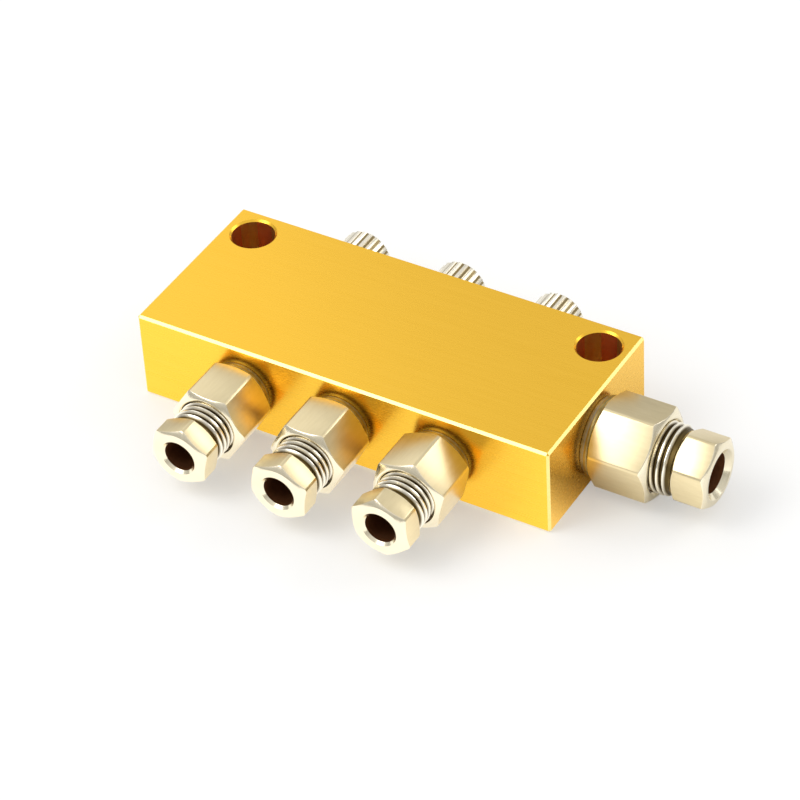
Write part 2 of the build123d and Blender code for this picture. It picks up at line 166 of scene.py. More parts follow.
Fitting = namedtuple(
    "Fitting",
    "tube_d thread_d hex_af flow_d bushing_thread_d bushing_af bushing_hex_length mouth_d",
)
OUTLET = Fitting(
    tube_d=4.76, thread_d=8.0, hex_af=11.0, flow_d=2.4,
    bushing_thread_d=9.0, bushing_af=9.0, bushing_hex_length=4.1, mouth_d=5.8,
)
INLET = Fitting(
    tube_d=6.0, thread_d=10.0, hex_af=13.0, flow_d=4.5,
    bushing_thread_d=11.0, bushing_af=10.0, bushing_hex_length=5.8, mouth_d=7.8,
)
# How far each hexagon is turned about its port, in degrees
OUTLET_HEX_TURNS = {1: -2.0, 2: 2.0, 3: 18.0}
OUTLET_BUSHING_TURNS = {1: 20.0, 2: 23.0, 3: 36.0}
INLET_HEX_TURN = -14.0
INLET_BUSHING_TURN = -27.0

BODY_OF = {
    node: body for body, nodes in frame["record"]["behaviour"]["bodies"].items() for node in nodes
}


def box_mm(node):
    """Low and high corner of a node, in millimetres."""
    low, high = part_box(node)
    return low / MM, high / MM


block_low, block_high = box_mm("divider_block")
PORT_HEIGHT = (block_low.z + block_high.z) / 2


# Ports: local +Z points out of the block and local +Y points up

def port(origin, across, out):
    """Matrix from the bench to a port of the block, in millimetres."""
    up = Vector((0, 0, 1))
    return Matrix.Translation(origin) @ Matrix((across, up, out)).transposed().to_4x4()


def outlet_port(number):
    """Port of an outlet in the front face."""
    low, high = box_mm(f"outlet_connector_{number}")
    origin = Vector(((low.x + high.x) / 2, block_low.y, PORT_HEIGHT))
    return port(origin, Vector((1, 0, 0)), Vector((0, -1, 0)))


def cell_port(number):
    """Port of a metering cell in the rear face."""
    low, high = box_mm(f"metering_cap_{number}")
    origin = Vector(((low.x + high.x) / 2, block_high.y, PORT_HEIGHT))
    return port(origin, Vector((-1, 0, 0)), Vector((0, 1, 0)))


INLET_PORT = port(Vector((block_high.x, 0, PORT_HEIGHT)), Vector((0, 1, 0)), Vector((1, 0, 0)))
PLUG_PORT = port(Vector((block_low.x, 0, PORT_HEIGHT)), Vector((0, -1, 0)), Vector((-1, 0, 0)))


def heights(node, matrix):
    """Lowest and highest point of a node along its port, in millimetres."""
    inward = matrix.inverted()
    low, high = sorted((inward @ corner).z for corner in box_mm(node))
    return low, high


# Bench work

def start_clean():
    """Leaves edit mode with nothing selected."""
    if bpy.context.object and bpy.context.object.mode != "OBJECT":
        bpy.ops.object.mode_set(mode="OBJECT")
    bpy.ops.object.select_all(action="DESELECT")


def take(obj):
    """Selects one object and nothing else."""
    start_clean()
    bpy.context.view_layer.objects.active = obj
    obj.select_set(True)


def edit(obj):
    """Starts to edit one object."""
    take(obj)
    bpy.ops.object.mode_set(mode="EDIT")


def done():
    """Leaves edit mode."""
    bpy.ops.object.mode_set(mode="OBJECT")


def pick(obj, domain, test):
    """Selects the vertices, edges or faces that pass the test, and stays in edit mode."""
    edit(obj)
    bpy.ops.mesh.select_mode(type={"vertices": "VERT", "edges": "EDGE", "polygons": "FACE"}[domain])
    bpy.ops.mesh.select_all(action="DESELECT")
    done()
    for element in getattr(obj.data, domain):
        element.select = bool(test(element))
    bpy.ops.object.mode_set(mode="EDIT")


def outward(obj):
    """Merges doubled points and turns all faces outwards."""
    edit(obj)
    bpy.ops.mesh.select_all(action="SELECT")
    bpy.ops.mesh.remove_doubles(threshold=MERGE)
    bpy.ops.mesh.normals_make_consistent(inside=False)
    done()
    return obj


def outlined(name, outline):
    """Line through (radius, height) points in the XZ plane, left in edit mode."""
    start_clean()
    bpy.ops.mesh.primitive_plane_add(size=1)
    obj = bpy.context.object
    obj.name = name
    bpy.ops.object.mode_set(mode="EDIT")
    bpy.ops.mesh.select_mode(type="VERT")
    bpy.ops.mesh.merge(type="CENTER")
    bpy.ops.transform.translate(value=(outline[0][0], 0, outline[0][1]))
    for (r0, z0), (r1, z1) in zip(outline, outline[1:]):
        bpy.ops.mesh.extrude_vertices_move(TRANSFORM_OT_translate={"value": (r1 - r0, 0, z1 - z0)})
    bpy.ops.mesh.select_all(action="SELECT")
    return obj


def turned(name, outline, steps=ROUND_STEPS):
    """Solid spun about Z, from an outline that ends on the axis or where it began."""
    obj = outlined(name, outline)
    bpy.ops.mesh.spin(steps=steps, angle=2 * pi, center=(0, 0, 0), axis=(0, 0, 1))
    done()
    return outward(obj)


def combine(obj, other, operation):
    """Boolean of two bench pieces, which uses the second one up."""
    take(obj)
    joint = obj.modifiers.new("join", "BOOLEAN")
    joint.operation = operation
    joint.object = other
    joint.solver = "EXACT"
    bpy.ops.object.modifier_apply(modifier=joint.name)
    bpy.data.objects.remove(other)
    return obj


def round_edges(obj, width=EDGE_ROUND, segments=2):
    """Rounds every sharp edge."""
    take(obj)
    soft = obj.modifiers.new("round", "BEVEL")
    soft.limit_method = "ANGLE"
    soft.angle_limit = SHARP_ANGLE
    soft.width = width
    soft.segments = segments
    soft.use_clamp_overlap = True
    bpy.ops.object.modifier_apply(modifier=soft.name)
    return obj


def move(obj, matrix):
    """Moves a bench piece to a port and leaves its place in its mesh."""
    take(obj)
    obj.matrix_world = matrix
    bpy.ops.object.transform_apply(location=True, rotation=True, scale=True)
    return obj


def copy_of(obj, name):
    """Copy with its own mesh."""
    twin = obj.copy()
    twin.data = obj.data.copy()
    twin.name = name
    bpy.context.collection.objects.link(twin)
    return twin


def set_in(obj, matrix, node, turn=0.0):
    """Keeps the bench place as an attribute for the finish, and sets the piece in for its node."""
    bench = obj.data.attributes.new("bench", "FLOAT_VECTOR", "POINT")
    bench.data.foreach_set("vector", [c for point in obj.data.vertices for c in point.co])
    move(obj, Matrix.Scale(MM, 4) @ matrix @ Matrix.Rotation(radians(turn), 4, "Z"))
    bpy.ops.object.shade_smooth_by_angle(angle=SHARP_ANGLE)
    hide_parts(node)
    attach(obj, BODY_OF[node])
    return obj


def six_sided(name, across_flats, low, high):
    """Hexagon bar with a corner on +X."""
    start_clean()
    bpy.ops.mesh.primitive_cylinder_add(
        vertices=6, radius=across_flats / sqrt(3), depth=high - low,
        location=(0, 0, (low + high) / 2), rotation=(0, 0, radians(30)),
    )
    bar = bpy.context.object
    bar.name = name
    bpy.ops.object.transform_apply(location=True, rotation=True, scale=True)
    return bar


def runs_along(obj):
    """Test for the edges of a bench piece that run along Z."""
    points = obj.data.vertices
    return lambda edge: (
        (points[edge.vertices[0]].co - points[edge.vertices[1]].co).xy.length < PAST
    )


def hexagon_bar(name, across_flats, low, high):
    """Drawn hexagon bar with rounded corners that are turned off at both ends."""
    side_r = across_flats / sqrt(3) - HEX_CORNER_TRIM
    end_r = across_flats / 2 - HEX_END_INSET
    rise = (side_r - end_r) * tan(radians(HEX_END_ANGLE))
    bar = six_sided(name, across_flats, low, high)
    pick(bar, "edges", runs_along(bar))
    bpy.ops.mesh.bevel(offset=HEX_CORNER_ROUND, segments=CORNER_SEGMENTS, affect="EDGES")
    done()
    envelope = turned(
        "envelope",
        [(0, low), (end_r, low), (side_r, low + rise), (side_r, high - rise), (end_r, high), (0, high)],
    )
    combine(bar, envelope, "INTERSECT")
    return round_edges(bar)


def threaded_rod(name, crest_r, low, high, lead_low=0.0, lead_high=0.0, relief=0.0):
    """Rod with a right-hand thread, chamfered where it is led in, with a neck below its top."""
    root_r = crest_r - THREAD_DEPTH
    flank = (THREAD_PITCH - THREAD_ROOT_FLAT - THREAD_CREST_FLAT) / 2
    start = floor(low) - THREAD_SPARE_TURNS * THREAD_PITCH
    rise = start + THREAD_ROOT_FLAT
    rod = outlined(
        name,
        [(root_r, start), (root_r, rise), (crest_r, rise + flank),
         (crest_r, rise + flank + THREAD_CREST_FLAT), (root_r, start + THREAD_PITCH)],
    )
    done()
    helix = rod.modifiers.new("helix", "SCREW")
    helix.axis = "Z"
    helix.screw_offset = THREAD_PITCH
    helix.iterations = int((high - low) / THREAD_PITCH) + 2 * THREAD_SPARE_TURNS + 1
    helix.steps = helix.render_steps = FINE_ROUND_STEPS
    bpy.ops.object.modifier_apply(modifier=helix.name)
    edit(rod)
    bpy.ops.mesh.select_all(action="SELECT")
    bpy.ops.mesh.remove_doubles(threshold=MERGE)
    for height, side in ((low, -1), (high, 1)):
        bpy.ops.mesh.select_all(action="SELECT")
        bpy.ops.mesh.bisect(
            plane_co=(0, 0, height), plane_no=(0, 0, side), use_fill=True, clear_outer=True
        )
    done()
    outward(rod)
    outer_r = crest_r + PAST
    neck_r = root_r - PAST
    outline = [(0, low - PAST), (crest_r - lead_low, low - PAST), (outer_r, low + lead_low)]
    if relief:
        neck = high - relief
        outline += [(outer_r, neck + neck_r - outer_r), (neck_r, neck), (neck_r, high + PAST)]
    else:
        outline += [(outer_r, high - lead_high), (crest_r - lead_high, high + PAST)]
    outline.append((0, high + PAST))
    return combine(rod, turned("envelope", outline), "INTERSECT")


# Block

def port_cutter(radius, depth, inner_steps):
    """Cutter for a port with a chamfered mouth, then the given (radius, height) steps."""
    mouth_r = radius + HOLE_CHAMFER + PAST
    outline = [(0, PAST), (mouth_r, PAST), (radius, -HOLE_CHAMFER), (radius, -depth)]
    outline += inner_steps
    outline.append((0, inner_steps[-1][1]))
    return turned("port", outline)


def divider_block():
    """Sawn and milled bar with its edges broken, bored for its ports, gallery and cells.

    Only the first turn of the plug port's thread shows, above the plug.
    """
    start_clean()
    bpy.ops.mesh.primitive_cube_add(size=1, location=(block_low + block_high) / 2)
    block = bpy.context.object
    block.name = "gold_block"
    block.scale = block_high - block_low
    bpy.ops.object.transform_apply(location=True, rotation=True, scale=True)
    pick(block, "edges", lambda edge: True)
    bpy.ops.mesh.bevel(offset=BLOCK_EDGE_BREAK, segments=1, affect="EDGES")
    done()

    hole_r = MOUNT_HOLE_D / 2
    rim_r = hole_r + HOLE_CHAMFER
    top = block_high.z
    outline = [
        (0, -PAST), (rim_r + PAST, -PAST), (hole_r, HOLE_CHAMFER), (hole_r, top - HOLE_CHAMFER),
        (rim_r + PAST, top + PAST), (0, top + PAST),
    ]
    hole_y = block_high.y - MOUNT_HOLE_INSET
    for x in (block_low.x + MOUNT_HOLE_INSET, block_high.x - MOUNT_HOLE_INSET):
        combine(block, move(turned("hole", outline), Matrix.Translation((x, hole_y, 0))), "DIFFERENCE")

    gallery_r = GALLERY_D / 2
    inlet_depth = PORT_END_GAP - heights("inlet_connector", INLET_PORT)[0]
    plug_depth = -heights("end_plug_washer", PLUG_PORT)[0]
    gallery_end = plug_depth / 2 + block_low.x - block_high.x
    inlet_cut = port_cutter(
        INLET.thread_d / 2, inlet_depth, [(gallery_r, -inlet_depth), (gallery_r, gallery_end)]
    )
    combine(block, move(inlet_cut, INLET_PORT), "DIFFERENCE")
    major_r = PLUG_THREAD_D / 2
    crest_z = -HOLE_CHAMFER - THREAD_PITCH / 3
    plug_cut = turned(
        "port",
        [(0, PAST), (major_r + HOLE_CHAMFER + PAST, PAST), (major_r, -HOLE_CHAMFER),
         (major_r - THREAD_DEPTH, crest_z), (major_r, 2 * crest_z + HOLE_CHAMFER), (major_r, -plug_depth),
         (0, -plug_depth)],
    )
    combine(block, move(plug_cut, PLUG_PORT), "DIFFERENCE")

    cell_to_centre = -block_high.y
    outlet_depth = PORT_END_GAP - heights("outlet_connector_1", outlet_port(1))[0]
    tube_r = CENTRE_TUBE_D / 2
    for number in OUTLET_HEX_TURNS:
        outlet_cut = port_cutter(
            OUTLET.thread_d / 2, outlet_depth, [(tube_r, -outlet_depth), (tube_r, cell_to_centre)]
        )
        off_line = Matrix.Rotation(radians(OUTLET_CUT_TURN), 4, "Z")
        combine(block, move(outlet_cut, outlet_port(number) @ off_line), "DIFFERENCE")
        cell_cut = port_cutter(
            CAP_THREAD_D / 2, CELL_PORT_DEPTH,
            [(CELL_CHAMBER_D / 2, -CELL_PORT_DEPTH), (CELL_CHAMBER_D / 2, -CELL_CHAMBER_FLOOR),
             (CELL_FEED_D / 2, -CELL_CHAMBER_FLOOR), (CELL_FEED_D / 2, cell_to_centre)],
        )
        off_line = Matrix.Rotation(radians(CELL_CUT_TURN), 4, "Z")
        combine(block, move(cell_cut, cell_port(number) @ off_line), "DIFFERENCE")
    return outward(block)


# Fittings, along +Z with the block's face at height 0

def cone_mouth_r(fitting):
    """Wide end of the cones that pinch the cutting ring."""
    return fitting.tube_d / 2 + OLIVE_WALL + TUBE_PLAY


def tube_bore_r(fitting):
    """Bore that the user's tube slides into."""
    return fitting.tube_d / 2 + TUBE_PLAY


def connector(name, fitting, node, washer_node, matrix, inner_steps):
    """Hexagon connector with a threaded spigot, its cone for the cutting ring and its bore."""
    low, face = heights(node, matrix)
    hex_low = heights(washer_node, matrix)[1]
    screw_r = fitting.bushing_thread_d / 2
    bore_r = tube_bore_r(fitting)
    cone_r = cone_mouth_r(fitting)
    olive_node = washer_node.replace("washer", "olive")
    olive_low = heights(olive_node, matrix)[0]
    cone_z = olive_low - TIGHTEN_ROOM - SEAT_PLAY - (fitting.tube_d / 2 + OLIVE_EDGE - bore_r)
    cone_top = cone_z + cone_r - bore_r
    stop_z = cone_z - SOCKET_DEPTH
    body = hexagon_bar(name, fitting.hex_af, hex_low + SEAT_COLLAR_T, face)
    collar_r = fitting.hex_af / 2 - SEAT_COLLAR_INSET
    collar_top = hex_low + SEAT_COLLAR_T + PAST
    collar = turned("collar", [(0, hex_low), (collar_r, hex_low), (collar_r, collar_top), (0, collar_top)])
    combine(body, round_edges(collar), "UNION")
    spigot = threaded_rod(
        "spigot", fitting.thread_d / 2 - THREAD_PLAY, low, hex_low + PAST,
        lead_low=THREAD_LEAD, relief=THREAD_RELIEF,
    )
    combine(body, spigot, "UNION")
    outline = [
        (0, face + PAST), (screw_r + HOLE_CHAMFER + PAST, face + PAST), (screw_r, face - HOLE_CHAMFER),
        (screw_r, cone_top), (cone_r, cone_top), (bore_r, cone_z), (bore_r, stop_z),
    ]
    outline += inner_steps(stop_z)
    outline += [(outline[-1][0], low - PAST), (0, low - PAST)]
    return combine(body, turned("bore", outline), "DIFFERENCE")


def outlet_bore(stop_z):
    """Steps below an outlet's tube stop: the flow bore, then the check valve's chamber."""
    flow_r = OUTLET.flow_d / 2
    chamber_top = stop_z - CHECK_WEB
    return [(flow_r, stop_z), (flow_r, chamber_top), (CHECK_BORE_D / 2, chamber_top)]


def inlet_bore(stop_z):
    """Step below the inlet's tube stop: the flow bore."""
    return [(INLET.flow_d / 2, stop_z)]


def bushing(name, fitting, node, matrix):
    """Compression screw: hexagon head, threaded shank, and tube bore with a wide mouth."""
    low, mouth = heights(node, matrix)
    head = mouth - fitting.bushing_hex_length
    bore_r = tube_bore_r(fitting)
    cone_r = cone_mouth_r(fitting)
    mouth_r = fitting.mouth_d / 2
    body = hexagon_bar(name, fitting.bushing_af, head, mouth)
    shank = threaded_rod(
        "shank", fitting.bushing_thread_d / 2 - THREAD_PLAY, low, head + PAST,
        lead_low=THREAD_LEAD, relief=THREAD_RELIEF,
    )
    combine(body, shank, "UNION")
    bore = turned(
        "bore",
        [(0, low - PAST), (cone_r + PAST, low - PAST), (bore_r, low + cone_r - bore_r),
         (bore_r, mouth + bore_r - mouth_r), (mouth_r + PAST, mouth + PAST), (0, mouth + PAST)],
    )
    return combine(body, bore, "DIFFERENCE")


def sealing_washer(name, inner_d, node, matrix):
    """Soft washer with its rims pressed round."""
    low, high = heights(node, matrix)
    box_low, box_high = box_mm(node)
    outer_r = (box_high.z - box_low.z) / 2
    inner_r = inner_d / 2 + THREAD_PLAY
    washer = turned(
        name, [(inner_r, low), (outer_r, low), (outer_r, high), (inner_r, high), (inner_r, low)]
    )
    return round_edges(washer, WASHER_ROUND, CORNER_SEGMENTS)


# Metering cap, along +Z with the block's rear face at height 0

def knurled_bar(name, low, high):
    """Bar with a straight knurl, chamfered at both ends."""
    step = pi / (2 * KNURL_RIBS)
    crest_r = CAP_HEAD_D / 2
    start_clean()
    bpy.ops.mesh.primitive_cylinder_add(
        vertices=4 * KNURL_RIBS, radius=crest_r, depth=high - low, location=(0, 0, (low + high) / 2)
    )
    bar = bpy.context.object
    bar.name = name
    bpy.ops.object.transform_apply(location=True, rotation=True, scale=True)
    pick(bar, "vertices", lambda v: round(atan2(v.co.y, v.co.x) / step) % 4 in (2, 3))
    shrink = 1 - KNURL_DEPTH / crest_r
    bpy.ops.transform.resize(value=(shrink, shrink, 1), center_override=(0, 0, 0))
    done()
    outer_r = crest_r + PAST
    end_r = crest_r - CAP_END_CHAMFER
    envelope = turned(
        "envelope",
        [(0, low - PAST), (end_r, low - PAST), (outer_r, low + CAP_END_CHAMFER),
         (outer_r, high - CAP_END_CHAMFER), (end_r, high + PAST), (0, high + PAST)],
    )
    combine(bar, envelope, "INTERSECT")
    return round_edges(bar, KNURL_ROUND, 1)


def metering_cap(name, node, washer_node, matrix):
    """Knurled cap with a slot for a screwdriver and a hollow threaded spigot."""
    low, high = heights(node, matrix)
    head_low = heights(washer_node, matrix)[1]
    body = knurled_bar(name, head_low, high)
    spigot = threaded_rod(
        "spigot", CAP_THREAD_D / 2 - THREAD_PLAY, low, head_low + PAST,
        lead_low=HOLE_CHAMFER, relief=THREAD_RELIEF,
    )
    combine(body, spigot, "UNION")
    cylinder_r = CAP_CYLINDER_D / 2
    floor_z = high - CAP_END_WALL
    bore = turned("bore", [(0, low - PAST), (cylinder_r, low - PAST), (cylinder_r, floor_z), (0, floor_z)])
    combine(body, bore, "DIFFERENCE")
    start_clean()
    bpy.ops.mesh.primitive_cube_add(size=1, location=(0, 0, high))
    slot = bpy.context.object
    slot.scale = (2 * CAP_HEAD_D, SLOT_WIDTH, 2 * SLOT_DEPTH)
    bpy.ops.object.transform_apply(location=True, rotation=True, scale=True)
    return combine(body, slot, "DIFFERENCE")


# End plug, along +Z with the block's end face at height 0

def end_plug(name, node, matrix):
    """Threaded plug with a hexagon socket."""
    low, high = heights(node, matrix)
    plug = threaded_rod(
        name, PLUG_THREAD_D / 2 - THREAD_PLAY, low, high, lead_low=THREAD_LEAD, lead_high=THREAD_LEAD
    )
    socket = six_sided("socket", PLUG_SOCKET_AF, high - PLUG_SOCKET_DEPTH, high + PAST)
    combine(plug, socket, "DIFFERENCE")
    corner_r = PLUG_SOCKET_AF / sqrt(3)
    lead_in = turned(
        "lead_in",
        [(0, high + PAST), (corner_r + PAST, high + PAST),
         (corner_r - PLUG_SOCKET_LEAD, high - PLUG_SOCKET_LEAD), (0, high - PLUG_SOCKET_LEAD)],
    )
    return combine(plug, lead_in, "DIFFERENCE")


# Materials

def linear(code):
    """sRGB hex code as a linear colour."""
    parts = [int(code[i:i + 2], 16) / 255 for i in (1, 3, 5)]
    return [p / 12.92 if p <= 0.04045 else ((p + 0.055) / 1.055) ** 2.4 for p in parts] + [1.0]


def add(tree, kind, values=None, links=None, **settings):
    """Adds a node with its settings, its socket values and its links from earlier sockets."""
    new = tree.nodes.new(kind)
    for key, value in settings.items():
        setattr(new, key, value)
    for socket, value in (values or {}).items():
        new.inputs[socket].default_value = value
    for socket, source in (links or {}).items():
        tree.links.new(source, new.inputs[socket])
    return new


def blank(name):
    """New material with an empty node tree and its output."""
    material = bpy.data.materials.new(name)
    material.use_nodes = True
    material.node_tree.nodes.clear()
    return material, material.node_tree, add(material.node_tree, "ShaderNodeOutputMaterial")


def ramp(tree, factor, low, high, low_colour, high_colour):
    """Colour ramp between two places of a pattern."""
    new = add(tree, "ShaderNodeValToRGB", links={"Fac": factor})
    first, second = new.color_ramp.elements
    first.position, first.color = low, linear(low_colour)
    second.position, second.color = high, linear(high_colour)
    return new.outputs["Color"]


def metal(name, colours, roughness, grain, bump, source="bench", tone=(0.35, 0.65)):
    """Bare or plated metal: a grain of the given stretch changes its tone, gloss and relief.

    grain is how often the pattern repeats per millimetre across each axis, in the piece's own
    bench place or in the object's. colours and roughness are what its two extremes look like,
    tone is where in the pattern they lie, and bump is the relief's strength and its height.
    """
    material, tree, output = blank(name)
    if source == "bench":
        place = add(tree, "ShaderNodeAttribute", attribute_name="bench").outputs["Vector"]
        scale = grain
    else:
        place = add(tree, "ShaderNodeTexCoord").outputs["Object"]
        scale = [g / MM for g in grain]
    spread = add(tree, "ShaderNodeMapping", {"Scale": scale}, {"Vector": place})
    lines = add(
        tree, "ShaderNodeTexNoise", {"Scale": 1.0, "Detail": 3.0, "Roughness": 0.6},
        {"Vector": spread.outputs["Vector"]},
    )
    colour = ramp(tree, lines.outputs["Fac"], tone[0], tone[1], *colours)
    gloss = add(
        tree, "ShaderNodeMapRange",
        {"From Min": tone[0], "From Max": tone[1], "To Min": roughness[0], "To Max": roughness[1]},
        {"Value": lines.outputs["Fac"]},
    )
    relief = add(
        tree, "ShaderNodeBump", {"Strength": bump[0], "Distance": bump[1] * MM},
        {"Height": lines.outputs["Fac"]},
    )
    shader = add(
        tree, "ShaderNodeBsdfPrincipled", {"Metallic": 1.0},
        {"Base Color": colour, "Roughness": gloss.outputs["Result"], "Normal": relief.outputs["Normal"]},
    )
    tree.links.new(shader.outputs["BSDF"], output.inputs["Surface"])
    return material


# Gold-dyed anodised aluminium bar: satin, with a faint lengthwise drawing grain, which is finer
# than a pixel and is drawn 0.6 mm wide here so that it shows
ANODISED_GOLD = metal(
    "gold_anodised_aluminium", ("#FBC640", "#FFCB46"), (0.26, 0.29), (0.08, 1.6, 1.6), (0.01, 0.01),
    source="object", tone=(0.2, 0.8),
)
# The same bar on its broken edges, painted pale: a painted highlight along each edge
EDGE_PAINTED_HIGHLIGHT = metal(
    "gold_anodised_edge_painted_highlight", ("#F6DA84", "#FCE596"), (0.28, 0.34), (0.3, 1.6, 1.6), (0.02, 0.01),
    source="object", tone=(0.2, 0.8),
)
# The same bar in a drilled hole, painted deep red-brown: a painted reflection of its gold walls in one
# another
HOLE_PAINTED_REFLECTION = metal(
    "gold_anodised_hole_painted_reflection", ("#F4985C", "#F8A068"), (0.36, 0.46), (0.4, 0.4, 3.0), (0.10, 0.02),
    source="object", tone=(0.2, 0.8),
)
# Nickel-plated brass hexagon: warm satin plating over the lengthwise lines of the drawn bar, at
# half a millimetre as coarse as they need to be to show
DRAWN_NICKEL = metal(
    "nickel_plated_drawn_hexagon", ("#E0CFA4", "#E9D9B0"), (0.30, 0.35), (1.8, 1.8, 0.35), (0.02, 0.01),
    tone=(0.25, 0.75),
)
# Nickel-plated turned brass: the same plating, brighter over tool rings, which are 0.2 mm wide
# here and finer on the real piece
TURNED_NICKEL = metal(
    "nickel_plated_turned_brass", ("#EFE4C6", "#F6ECD2"), (0.17, 0.24), (0.3, 0.3, 5.0), (0.04, 0.01),
    tone=(0.2, 0.8),
)
# Brass inside a bore, darkened to a dull yellow-brown: painted shade of the bore
BORE_PAINTED_SHADE = metal(
    "brass_bore_painted_shade", ("#8A5A38", "#9C6A46"), (0.45, 0.60), (1.0, 1.0, 3.0), (0.10, 0.01),
    tone=(0.2, 0.8),
)


def nickel_painted_shade_and_highlight(name, root_r, crest_r, fade, groove_shade_colour):
    """Nickel plating on a thread or knurl: painted highlight on the crests, painted shade in the grooves.

    The tone follows the distance from the piece's own axis, and fade is where between the roots
    and the crests it starts and ends to brighten.
    """
    material, tree, output = blank(name)
    place = add(tree, "ShaderNodeAttribute", attribute_name="bench")
    parts = add(tree, "ShaderNodeSeparateXYZ", links={"Vector": place.outputs["Vector"]})
    across = add(
        tree, "ShaderNodeCombineXYZ", links={"X": parts.outputs["X"], "Y": parts.outputs["Y"]}
    )
    radius = add(tree, "ShaderNodeVectorMath", links={0: across.outputs["Vector"]}, operation="LENGTH")
    rise = add(
        tree, "ShaderNodeMapRange", {"From Min": root_r, "From Max": crest_r},
        {"Value": radius.outputs["Value"]},
    )
    colour = ramp(tree, rise.outputs["Result"], *fade, groove_shade_colour, "#FBF4E2")
    gloss = add(
        tree, "ShaderNodeMapRange", {"To Min": 0.42, "To Max": 0.20}, {"Value": rise.outputs["Result"]}
    )
    shader = add(
        tree, "ShaderNodeBsdfPrincipled", {"Metallic": 1.0},
        {"Base Color": colour, "Roughness": gloss.outputs["Result"]},
    )
    tree.links.new(shader.outputs["BSDF"], output.inputs["Surface"])
    return material


OUTLET_SCREW_R = OUTLET.bushing_thread_d / 2 - THREAD_PLAY
INLET_SCREW_R = INLET.bushing_thread_d / 2 - THREAD_PLAY
# Compression screws' threads: painted olive-brown shade in the roots, painted highlight on the crests
OUTLET_THREAD_PAINTED_LIGHT = nickel_painted_shade_and_highlight(
    "nickel_outlet_thread_painted_light", OUTLET_SCREW_R - THREAD_DEPTH, OUTLET_SCREW_R, (0.3, 0.85), "#5E4E2C"
)
INLET_THREAD_PAINTED_LIGHT = nickel_painted_shade_and_highlight(
    "nickel_inlet_thread_painted_light", INLET_SCREW_R - THREAD_DEPTH, INLET_SCREW_R, (0.3, 0.85), "#5E4E2C"
)
# Knurled cap heads: painted grey-brown shade between the ribs, painted highlight on the ribs
KNURL_PAINTED_LIGHT = nickel_painted_shade_and_highlight(
    "nickel_knurl_painted_light", CAP_HEAD_D / 2 - KNURL_DEPTH, CAP_HEAD_D / 2, (0.0, 0.35), "#96845C"
)
# Nickel in the corner against the block, painted dull olive-brown: painted shade of that corner
COLLAR_PAINTED_SHADE = metal(
    "nickel_collar_painted_shade", ("#8C7848", "#A8935E"), (0.30, 0.42), (0.8, 0.8, 0.8), (0.05, 0.01)
)
# Soft aluminium sealing washer with pressed blotches, painted a dull grey-brown: painted shade of the gap
# it sits in
WASHER_PAINTED_SHADE = metal(
    "aluminium_washer_painted_shade", ("#8E8574", "#A69D8A"), (0.40, 0.55), (1.2, 1.2, 1.2), (0.15, 0.02)
)
# Turned brass cutting ring and valve parts: yellow, with fine tool marks
TURNED_BRASS = metal(
    "turned_brass", ("#C9983F", "#DDB25C"), (0.22, 0.34), (4.0, 4.0, 4.0), (0.15, 0.01), source="object"
)
# Ground steel ball: near mirror
BALL_STEEL = metal(
    "ground_steel_ball", ("#C2C5C8", "#CFD1D3"), (0.06, 0.10), (3.0, 3.0, 3.0), (0.03, 0.005),
    source="object",
)
# Drawn spring wire: grey with a darker drawing skin
SPRING_WIRE = metal(
    "drawn_spring_wire", ("#84817A", "#A5A29A"), (0.26, 0.40), (4.0, 4.0, 4.0), (0.10, 0.01),
    source="object",
)


def moulded_rubber():
    """Black nitrile rubber: matt, with the fine grain of its mould."""
    material, tree, output = blank("moulded_nitrile_rubber")
    place = add(tree, "ShaderNodeTexCoord")
    grain = add(
        tree, "ShaderNodeTexNoise", {"Scale": 4.0 / MM, "Detail": 2.0},
        {"Vector": place.outputs["Object"]},
    )
    colour = ramp(tree, grain.outputs["Fac"], 0.3, 0.7, "#1C1B1A", "#2A2826")
    relief = add(
        tree, "ShaderNodeBump", {"Strength": 0.2, "Distance": 0.02 * MM}, {"Height": grain.outputs["Fac"]}
    )
    shader = add(
        tree, "ShaderNodeBsdfPrincipled", {"Roughness": 0.6, "IOR": 1.52},
        {"Base Color": colour, "Normal": relief.outputs["Normal"]},
    )
    tree.links.new(shader.outputs["BSDF"], output.inputs["Surface"])
    return material


RUBBER = moulded_rubber()
NODE_FINISH = {
    "end_plug_washer": WASHER_PAINTED_SHADE,
    "inlet_washer": WASHER_PAINTED_SHADE,
    "outlet_washer": WASHER_PAINTED_SHADE,
    "cap_washer": WASHER_PAINTED_SHADE,
    "inlet_olive": TURNED_BRASS,
    "outlet_olive": TURNED_BRASS,
    "check_seat": TURNED_BRASS,
    "check_ball": BALL_STEEL,
    "check_spring": SPRING_WIRE,
    "metering_spring": SPRING_WIRE,
    "metering_piston": TURNED_BRASS,
    "piston_ring": RUBBER,
    "seat_disc": TURNED_BRASS,
    "valve_collar": RUBBER,
    "centre_tube": TURNED_BRASS,
}


def finish_with(obj, first, *others):
    """Gives a piece its finish, and the faces that pass a test that test's own finish."""
    obj.data.materials.clear()
    obj.data.materials.append(first)
    for material, _ in others:
        obj.data.materials.append(material)
    for face in obj.data.polygons:
        for index, (_, test) in enumerate(others):
            if test(face):
                face.material_index = index + 1
    return obj


def is_flat_of(across_flats):
    """Test for the drawn flats and corners of a hexagon bar."""
    return lambda face: (
        abs(face.normal.z) < SIDE_SLOPE and face.center.xy.length > across_flats / 2 - SKIN
    )


def is_inside(radius):
    """Test for the walls of a bore of up to this radius."""
    return lambda face: (
        face.center.xy.length < radius and abs(face.normal.z) < END_SLOPE
        and face.normal.xy.dot(face.center.xy) < 0
    )


